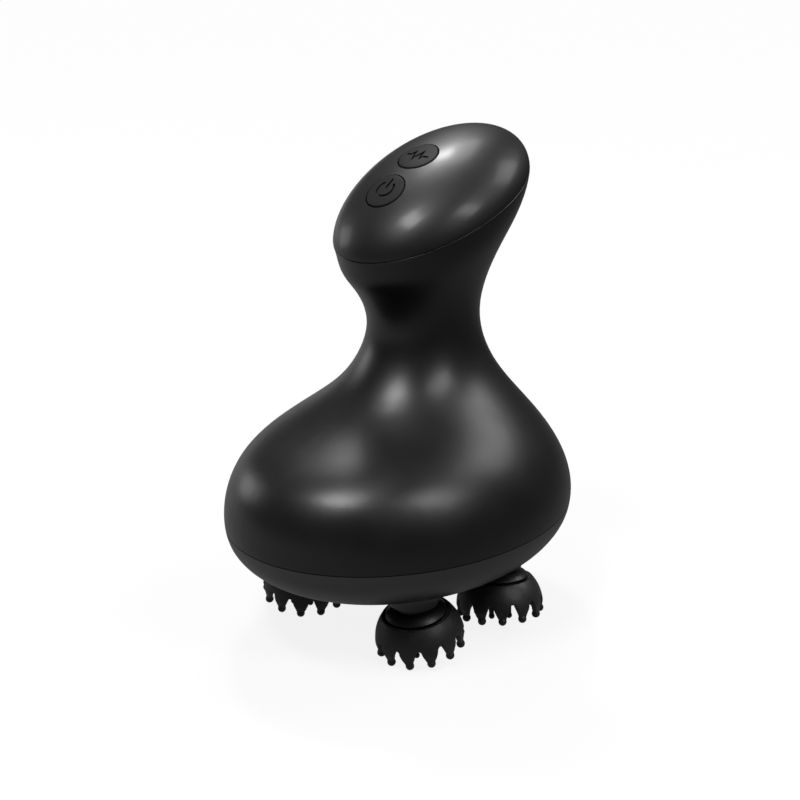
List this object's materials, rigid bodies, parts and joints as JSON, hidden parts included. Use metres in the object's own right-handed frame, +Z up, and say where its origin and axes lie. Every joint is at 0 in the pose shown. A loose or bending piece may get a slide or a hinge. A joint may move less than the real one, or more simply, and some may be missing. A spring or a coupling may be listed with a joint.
{
  "type": "scalp massager",
  "caption": "Hand-held scalp massager: bulb-shaped body, waisted neck, tilted domed cap with press buttons, and geared ball-fingered claws under the base.",
  "frame": {"origin": "on the surface under the claw tips, at the middle of the body's length and width", "axes": "+Z up through the neck, -Y to the front where the cap dips, +X across the width"},
  "size_m": [0.0974, 0.1206, 0.1547],
  "materials": {
    "shell_black": "satin moulded",
    "base_black": "satin moulded",
    "button_black": "fine matt",
    "claw_silicone": "soft matt conductive silicone",
    "hub_black": "smooth moulded",
    "seal_rubber": "soft matt",
    "gear_nylon": "moulded",
    "frame_plastic": "moulded",
    "steel": "turned",
    "screw_steel": "plated",
    "bush_brass": "sintered",
    "contact_copper": "sprung strip",
    "board_green": "coated board",
    "switch_plastic": "moulded",
    "cell_wrap": "shrink wrap"
  },
  "bodies": {
    "housing": {"base_cover": "base_black", "base_screws": "screw_steel", "base_seal": "seal_rubber", "battery_cells": "cell_wrap", "battery_cradle": "frame_plastic", "button_board": "board_green", "button_board_screws": "screw_steel", "cap_seal": "seal_rubber", "charge_port": "steel", "drive_axle": "steel", "ems_contacts": "contact_copper", "gear_plate": "frame_plastic", "gear_plate_screws": "screw_steel", "main_board": "board_green", "main_board_posts": "frame_plastic", "main_board_screws": "screw_steel", "main_shell": "shell_black", "motor_can": "steel", "motor_plate": "steel", "motor_plate_screws": "screw_steel", "motor_screws": "screw_steel", "plate_posts": "frame_plastic", "reduction_axle": "steel", "shaft_seals": "seal_rubber", "spindle_bushes": "bush_brass", "switch_bodies": "switch_plastic", "top_cap": "shell_black"},
    "power_button": {"power_button": "button_black", "power_switch_plunger": "switch_plastic"},
    "ems_button": {"ems_button": "button_black", "ems_switch_plunger": "switch_plastic"},
    "drive_gear": {"drive_gear": "gear_nylon"},
    "reduction_gear": {"reduction_gear": "gear_nylon"},
    "motor_rotor": {"motor_shaft": "steel", "motor_pinion": "bush_brass"},
    "port_plug": {"port_plug": "seal_rubber"},
    "head_front_right": {"head_gear_front_right": "gear_nylon", "spindle_front_right": "steel", "claw_hub_front_right": "hub_black", "claw_front_right": "claw_silicone"},
    "head_front_left": {"head_gear_front_left": "gear_nylon", "spindle_front_left": "steel", "claw_hub_front_left": "hub_black", "claw_front_left": "claw_silicone"},
    "head_rear_right": {"head_gear_rear_right": "gear_nylon", "spindle_rear_right": "steel", "claw_hub_rear_right": "hub_black", "claw_rear_right": "claw_silicone"},
    "head_rear_left": {"head_gear_rear_left": "gear_nylon", "spindle_rear_left": "steel", "claw_hub_rear_left": "hub_black", "claw_rear_left": "claw_silicone"}
  },
  "joints": [
    {"name": "drive_gear_spin", "type": "hinge", "parent": "housing", "child": "drive_gear", "pos_m": [0, 0, 0.031], "axis": [0, 0, 1], "continuous": true},
    {"name": "head_front_right_spin", "type": "hinge", "parent": "housing", "child": "head_front_right", "pos_m": [0.0245, -0.01899, 0.031], "axis": [0, 0, 1], "continuous": true},
    {"name": "head_front_left_spin", "type": "hinge", "parent": "housing", "child": "head_front_left", "pos_m": [-0.0245, -0.01899, 0.031], "axis": [0, 0, 1], "continuous": true},
    {"name": "head_rear_right_spin", "type": "hinge", "parent": "housing", "child": "head_rear_right", "pos_m": [0.0245, 0.01899, 0.031], "axis": [0, 0, 1], "continuous": true},
    {"name": "head_rear_left_spin", "type": "hinge", "parent": "housing", "child": "head_rear_left", "pos_m": [-0.0245, 0.01899, 0.031], "axis": [0, 0, 1], "continuous": true},
    {"name": "reduction_gear_spin", "type": "hinge", "parent": "housing", "child": "reduction_gear", "pos_m": [0, 0.024, 0.035], "axis": [0, 0, 1], "continuous": true},
    {"name": "motor_spin", "type": "hinge", "parent": "housing", "child": "motor_rotor", "pos_m": [0, 0, 0.04], "axis": [0, 0, 1], "continuous": true},
    {"name": "power_button_press", "type": "slide", "parent": "housing", "child": "power_button", "axis": [0, 0.524, -0.8517], "range_m": [0, 0.0006], "stiffness_N_per_m": 2500},
    {"name": "ems_button_press", "type": "slide", "parent": "housing", "child": "ems_button", "axis": [0, 0.524, -0.8517], "range_m": [0, 0.0006], "stiffness_N_per_m": 2500},
    {"name": "port_plug_pull", "type": "slide", "parent": "housing", "child": "port_plug", "axis": [0, 1, 0], "range_m": [0, 0.012]}
  ],
  "couplings": [
    {"joint": "head_front_right_spin", "follows": "drive_gear_spin", "ratio": -1.5833},
    {"joint": "head_front_left_spin", "follows": "drive_gear_spin", "ratio": -1.5833},
    {"joint": "head_rear_right_spin", "follows": "drive_gear_spin", "ratio": -1.5833},
    {"joint": "head_rear_left_spin", "follows": "drive_gear_spin", "ratio": -1.5833},
    {"joint": "reduction_gear_spin", "follows": "drive_gear_spin", "ratio": -3.8},
    {"joint": "motor_spin", "follows": "drive_gear_spin", "ratio": 21.533}
  ]
}
